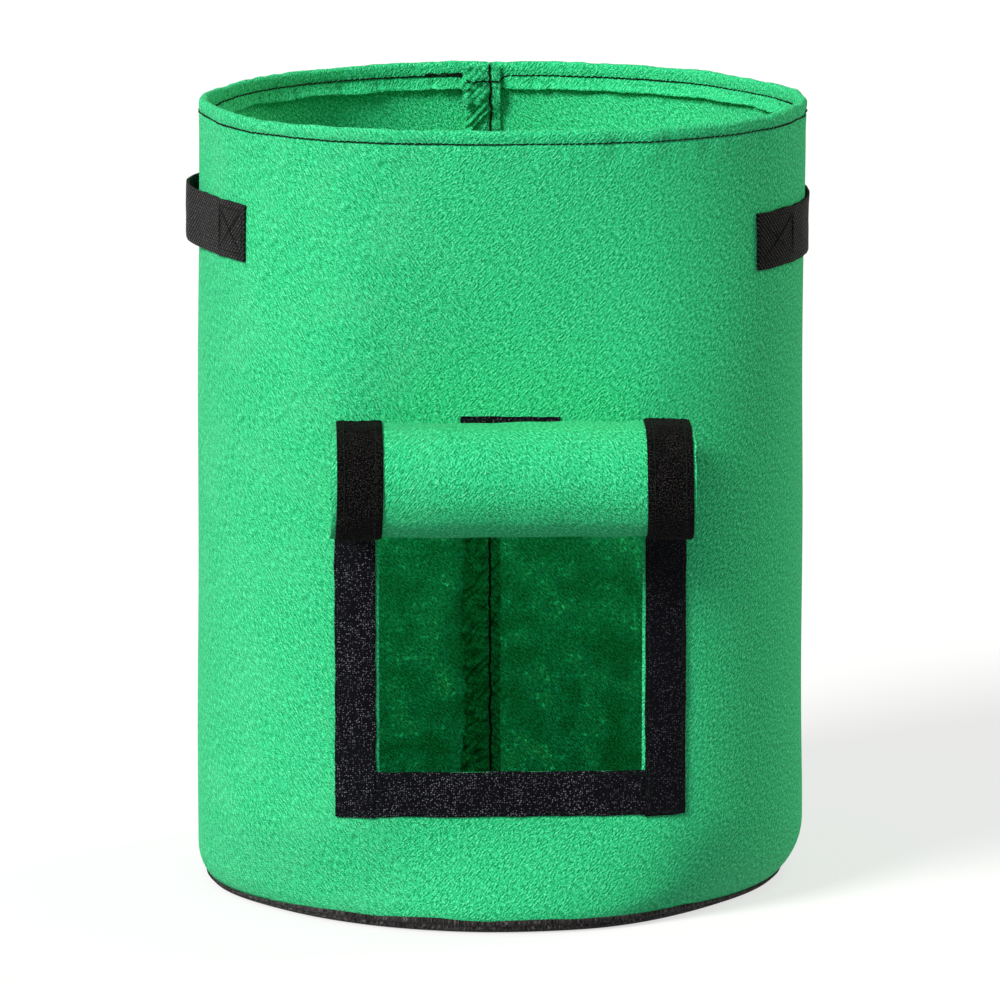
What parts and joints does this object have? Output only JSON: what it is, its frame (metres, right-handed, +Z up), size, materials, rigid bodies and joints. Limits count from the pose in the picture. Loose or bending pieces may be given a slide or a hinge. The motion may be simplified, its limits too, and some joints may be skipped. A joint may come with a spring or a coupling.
{
  "type": "fabric grow bag",
  "caption": "Round felt planting bag with an open rimmed top, webbing side handles and a window in the front whose felt flap rolls up and is held by hook-and-loop tape.",
  "frame": {"origin": "centre of the underside of the base, on the bag's vertical axis", "axes": "+Z up through the open top; the window faces -Y; the handles are at -X (left) and +X (right)"},
  "size_m": [0.3738, 0.4124, 0.466],
  "materials": {
    "wall_felt": "matt needle-punched felt",
    "base_felt": "matt needle-punched felt",
    "webbing": "twill webbing, slight sheen",
    "hook_tape": "stiff moulded hooks, fine sparkle",
    "loop_tape": "brushed loops, matt",
    "sewing_thread": "twisted polyester thread"
  },
  "bodies": {
    "bag": {"wall_panel": "wall_felt", "rim_hem": "wall_felt", "rim_thread_outside": "sewing_thread", "rim_thread_inside": "sewing_thread", "back_seam_allowance": "wall_felt", "back_seam_thread": "sewing_thread", "base_panel": "base_felt", "base_seam_allowance": "wall_felt", "base_thread": "sewing_thread", "hook_tape_left": "hook_tape", "hook_tape_right": "hook_tape", "hook_tape_bottom": "hook_tape", "hold_strip": "hook_tape", "flap_top_edge": "wall_felt", "flap_seam_thread": "sewing_thread", "handle_left_tab_front": "webbing", "handle_left_tab_back": "webbing", "handle_left_thread_front": "sewing_thread", "handle_left_thread_back": "sewing_thread", "handle_right_tab_front": "webbing", "handle_right_tab_back": "webbing", "handle_right_thread_front": "sewing_thread", "handle_right_thread_back": "sewing_thread"},
    "flap_01": {"flap_strip_01": "wall_felt"},
    "flap_02": {"flap_strip_02": "wall_felt", "loop_tape_left_02": "loop_tape", "loop_tape_right_02": "loop_tape"},
    "flap_03": {"flap_strip_03": "wall_felt", "loop_tape_left_03": "loop_tape", "loop_tape_right_03": "loop_tape"},
    "flap_04": {"flap_strip_04": "wall_felt", "loop_tape_left_04": "loop_tape", "loop_tape_right_04": "loop_tape"},
    "flap_05": {"flap_strip_05": "wall_felt", "loop_tape_left_05": "loop_tape", "loop_tape_right_05": "loop_tape"},
    "flap_06": {"flap_strip_06": "wall_felt", "loop_tape_left_06": "loop_tape", "loop_tape_right_06": "loop_tape"},
    "flap_07": {"flap_strip_07": "wall_felt", "loop_tape_left_07": "loop_tape", "loop_tape_right_07": "loop_tape"},
    "flap_08": {"flap_strip_08": "wall_felt", "loop_tape_left_08": "loop_tape", "loop_tape_right_08": "loop_tape"},
    "flap_09": {"flap_strip_09": "wall_felt", "loop_tape_left_09": "loop_tape", "loop_tape_right_09": "loop_tape"},
    "flap_10": {"flap_strip_10": "wall_felt", "loop_tape_left_10": "loop_tape", "loop_tape_right_10": "loop_tape"},
    "flap_11": {"flap_strip_11": "wall_felt", "loop_tape_left_11": "loop_tape", "loop_tape_right_11": "loop_tape"},
    "flap_12": {"flap_strip_12": "wall_felt", "loop_tape_left_12": "loop_tape", "loop_tape_right_12": "loop_tape", "loop_tape_bottom": "loop_tape"},
    "handle_left": {"handle_left_loop": "webbing"},
    "handle_right": {"handle_right_loop": "webbing"}
  },
  "joints": [
    {"name": "flap_fold", "type": "hinge", "parent": "bag", "child": "flap_01", "pos_m": [0, -0.1715, 0.2516], "axis": [1, 0, 0], "range_deg": [0, 46]},
    {"name": "flap_roll_02", "type": "hinge", "parent": "flap_01", "child": "flap_02", "pos_m": [0, -0.18042, 0.24299], "axis": [1, 0, 0], "range_deg": [0, 36.01]},
    {"name": "flap_roll_03", "type": "hinge", "parent": "flap_02", "child": "flap_03", "pos_m": [0, -0.20221, 0.23992], "axis": [1, 0, 0], "range_deg": [0, 23.51]},
    {"name": "flap_roll_04", "type": "hinge", "parent": "flap_03", "child": "flap_04", "pos_m": [0, -0.21377, 0.24313], "axis": [1, 0, 0], "range_deg": [0, 23.51]},
    {"name": "flap_roll_05", "type": "hinge", "parent": "flap_04", "child": "flap_05", "pos_m": [0, -0.22309, 0.25068], "axis": [1, 0, 0], "range_deg": [0, 23.51]},
    {"name": "flap_roll_06", "type": "hinge", "parent": "flap_05", "child": "flap_06", "pos_m": [0, -0.22864, 0.26133], "axis": [1, 0, 0], "range_deg": [0, 23.51]},
    {"name": "flap_roll_07", "type": "hinge", "parent": "flap_06", "child": "flap_07", "pos_m": [0, -0.22947, 0.2733], "axis": [1, 0, 0], "range_deg": [0, 23.51]},
    {"name": "flap_roll_08", "type": "hinge", "parent": "flap_07", "child": "flap_08", "pos_m": [0, -0.22547, 0.28461], "axis": [1, 0, 0], "range_deg": [0, 23.51]},
    {"name": "flap_roll_09", "type": "hinge", "parent": "flap_08", "child": "flap_09", "pos_m": [0, -0.21728, 0.29339], "axis": [1, 0, 0], "range_deg": [0, 23.51]},
    {"name": "flap_roll_10", "type": "hinge", "parent": "flap_09", "child": "flap_10", "pos_m": [0, -0.20628, 0.29817], "axis": [1, 0, 0], "range_deg": [0, 23.51]},
    {"name": "flap_roll_11", "type": "hinge", "parent": "flap_10", "child": "flap_11", "pos_m": [0, -0.18168, 0.29817], "axis": [1, 0, 0], "range_deg": [0, 34.51]},
    {"name": "flap_roll_12", "type": "hinge", "parent": "flap_11", "child": "flap_12", "pos_m": [0, -0.17146, 0.29115], "axis": [1, 0, 0], "range_deg": [0, 55.51]},
    {"name": "handle_left_lift", "type": "hinge", "parent": "bag", "child": "handle_left", "pos_m": [-0.166, 0, 0.412], "axis": [0, 1, 0], "range_deg": [0, 30]},
    {"name": "handle_right_lift", "type": "hinge", "parent": "bag", "child": "handle_right", "pos_m": [0.166, 0, 0.412], "axis": [0, -1, 0], "range_deg": [0, 30]}
  ],
  "couplings": [
    {"joint": "flap_roll_02", "follows": "flap_fold", "ratio": 0.78261},
    {"joint": "flap_roll_03", "follows": "flap_fold", "ratio": 0.51087},
    {"joint": "flap_roll_04", "follows": "flap_fold", "ratio": 0.51087},
    {"joint": "flap_roll_05", "follows": "flap_fold", "ratio": 0.51087},
    {"joint": "flap_roll_06", "follows": "flap_fold", "ratio": 0.51087},
    {"joint": "flap_roll_07", "follows": "flap_fold", "ratio": 0.51087},
    {"joint": "flap_roll_08", "follows": "flap_fold", "ratio": 0.51087},
    {"joint": "flap_roll_09", "follows": "flap_fold", "ratio": 0.51087},
    {"joint": "flap_roll_10", "follows": "flap_fold", "ratio": 0.51087},
    {"joint": "flap_roll_11", "follows": "flap_fold", "ratio": 0.75},
    {"joint": "flap_roll_12", "follows": "flap_fold", "ratio": 1.2065}
  ]
}
